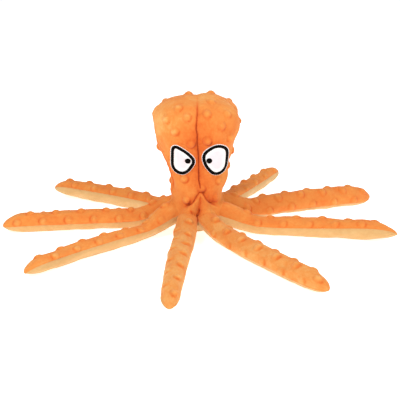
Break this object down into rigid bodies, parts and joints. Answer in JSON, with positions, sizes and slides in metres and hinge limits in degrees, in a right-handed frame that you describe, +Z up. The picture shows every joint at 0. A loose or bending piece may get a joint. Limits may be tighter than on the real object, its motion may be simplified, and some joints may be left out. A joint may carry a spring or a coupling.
{
  "type": "plush octopus toy",
  "caption": "Soft octopus toy with a stuffed dotted head, stitched eyes and long floppy two-tone legs spread out around it.",
  "frame": {"origin": "centre of the underside patch's lower face, on the surface that the toy sits on", "axes": "+Z up through the head, -Y the way the face looks, +X towards the toy's own left, which is on the right when it is seen from the front"},
  "size_m": [0.4281, 0.4258, 0.15],
  "materials": {
    "orange_plush": "dotted short-pile plush, soft and matt",
    "cream_plush": "short-pile plush, soft and matt",
    "white_felt": "smooth felt",
    "black_stitch": "satin-stitch embroidery",
    "wadding": "loose fibre",
    "squeaker_plastic": "translucent, moulded",
    "crinkle_film": "thin crumpled film"
  },
  "bodies": {
    "hub": {"neck_core": "orange_plush", "underside_patch": "cream_plush"},
    "head": {"head_panel_front_right": "orange_plush", "head_panel_back_right": "orange_plush", "head_panel_back_left": "orange_plush", "head_panel_front_left": "orange_plush", "eye_patch_left": "white_felt", "eye_border_left": "black_stitch", "pupil_left": "black_stitch", "eye_patch_right": "white_felt", "eye_border_right": "black_stitch", "pupil_right": "black_stitch", "head_wadding": "wadding", "squeaker_base": "squeaker_plastic", "squeaker_reed": "squeaker_plastic", "squeaker_bellows": "squeaker_plastic"},
    "squeaker_cap": {"squeaker_cap": "squeaker_plastic"},
    "leg1_inner": {"leg1_upper_inner": "orange_plush", "leg1_lower_inner": "cream_plush"},
    "leg1_outer": {"leg1_upper_outer": "orange_plush", "leg1_lower_outer": "cream_plush", "leg1_film": "crinkle_film"},
    "leg2_inner": {"leg2_upper_inner": "orange_plush", "leg2_lower_inner": "cream_plush"},
    "leg2_outer": {"leg2_upper_outer": "orange_plush", "leg2_lower_outer": "cream_plush", "leg2_film": "crinkle_film"},
    "leg3_inner": {"leg3_upper_inner": "orange_plush", "leg3_lower_inner": "cream_plush"},
    "leg3_outer": {"leg3_upper_outer": "orange_plush", "leg3_lower_outer": "cream_plush", "leg3_film": "crinkle_film"},
    "leg4_inner": {"leg4_upper_inner": "orange_plush", "leg4_lower_inner": "cream_plush"},
    "leg4_outer": {"leg4_upper_outer": "orange_plush", "leg4_lower_outer": "cream_plush", "leg4_film": "crinkle_film"},
    "leg5_inner": {"leg5_upper_inner": "orange_plush", "leg5_lower_inner": "cream_plush"},
    "leg5_outer": {"leg5_upper_outer": "orange_plush", "leg5_lower_outer": "cream_plush", "leg5_film": "crinkle_film"},
    "leg6_inner": {"leg6_upper_inner": "orange_plush", "leg6_lower_inner": "cream_plush"},
    "leg6_outer": {"leg6_upper_outer": "orange_plush", "leg6_lower_outer": "cream_plush", "leg6_film": "crinkle_film"},
    "leg7_inner": {"leg7_upper_inner": "orange_plush", "leg7_lower_inner": "cream_plush"},
    "leg7_outer": {"leg7_upper_outer": "orange_plush", "leg7_lower_outer": "cream_plush", "leg7_film": "crinkle_film"},
    "leg8_inner": {"leg8_upper_inner": "orange_plush", "leg8_lower_inner": "cream_plush"},
    "leg8_outer": {"leg8_upper_outer": "orange_plush", "leg8_lower_outer": "cream_plush", "leg8_film": "crinkle_film"}
  },
  "joints": [
    {"name": "head_nod", "type": "hinge", "parent": "hub", "child": "head", "pos_m": [0, 0, 0.04], "axis": [1, 0, 0], "range_deg": [-12, 25], "stiffness_Nm_per_rad": 0.15},
    {"name": "squeaker_press", "type": "slide", "parent": "head", "child": "squeaker_cap", "axis": [0, 0, -1], "range_m": [0, 0.008], "stiffness_N_per_m": 150, "deforming": ["squeaker_bellows"]},
    {"name": "leg1_lift", "type": "hinge", "parent": "hub", "child": "leg1_inner", "pos_m": [0.01186, -0.02864, 0.019], "axis": [0.8337, 0.5522, 0], "range_deg": [-60, 50]},
    {"name": "leg1_curl", "type": "hinge", "parent": "leg1_inner", "child": "leg1_outer", "pos_m": [0.05588, -0.09978, 0.01072], "axis": [-0.8374, -0.5466, 0], "range_deg": [-60, 75]},
    {"name": "leg2_lift", "type": "hinge", "parent": "hub", "child": "leg2_inner", "pos_m": [0.02864, -0.01186, 0.019], "axis": [0.1444, 0.9895, 0], "range_deg": [-60, 50]},
    {"name": "leg2_curl", "type": "hinge", "parent": "leg2_inner", "child": "leg2_outer", "pos_m": [0.11225, -0.02749, 0.01064], "axis": [-0.1513, -0.9885, 0], "range_deg": [-60, 75]},
    {"name": "leg3_lift", "type": "hinge", "parent": "hub", "child": "leg3_inner", "pos_m": [0.02864, 0.01186, 0.019], "axis": [-0.3639, 0.9314, 0], "range_deg": [-60, 50]},
    {"name": "leg3_curl", "type": "hinge", "parent": "leg3_inner", "child": "leg3_outer", "pos_m": [0.10656, 0.0426, 0.01905], "axis": [0.3645, -0.9312, 0], "range_deg": [-60, 75]},
    {"name": "leg4_lift", "type": "hinge", "parent": "hub", "child": "leg4_inner", "pos_m": [0.01186, 0.02864, 0.019], "axis": [-0.8756, 0.483, 0], "range_deg": [-60, 50]},
    {"name": "leg4_curl", "type": "hinge", "parent": "leg4_inner", "child": "leg4_outer", "pos_m": [0.05099, 0.10267, 0.01025], "axis": [0.8774, -0.4797, 0], "range_deg": [-60, 75]},
    {"name": "leg5_lift", "type": "hinge", "parent": "hub", "child": "leg5_inner", "pos_m": [-0.01186, 0.02864, 0.019], "axis": [-0.5057, -0.8627, 0], "range_deg": [-60, 50]},
    {"name": "leg5_curl", "type": "hinge", "parent": "leg5_inner", "child": "leg5_outer", "pos_m": [-0.07938, 0.07858, 0.0108], "axis": [0.5259, 0.8506, 0], "range_deg": [-60, 75]},
    {"name": "leg6_lift", "type": "hinge", "parent": "hub", "child": "leg6_inner", "pos_m": [-0.02864, 0.01186, 0.019], "axis": [0.1336, -0.991, 0], "range_deg": [-60, 50]},
    {"name": "leg6_curl", "type": "hinge", "parent": "leg6_inner", "child": "leg6_outer", "pos_m": [-0.1139, 0.00776, 0.01027], "axis": [-0.1187, 0.9929, 0], "range_deg": [-60, 75]},
    {"name": "leg7_lift", "type": "hinge", "parent": "hub", "child": "leg7_inner", "pos_m": [-0.02864, -0.01186, 0.019], "axis": [0.7056, -0.7087, 0], "range_deg": [-60, 50]},
    {"name": "leg7_curl", "type": "hinge", "parent": "leg7_inner", "child": "leg7_outer", "pos_m": [-0.09201, -0.06745, 0.00886], "axis": [-0.6965, 0.7176, 0], "range_deg": [-60, 75]},
    {"name": "leg8_lift", "type": "hinge", "parent": "hub", "child": "leg8_inner", "pos_m": [-0.01035, -0.02922, 0.019], "axis": [0.9981, -0.0623, 0], "range_deg": [-60, 50]},
    {"name": "leg8_curl", "type": "hinge", "parent": "leg8_inner", "child": "leg8_outer", "pos_m": [-0.01915, -0.11109, 0.00968], "axis": [-0.9973, 0.0735, 0], "range_deg": [-60, 75]}
  ]
}
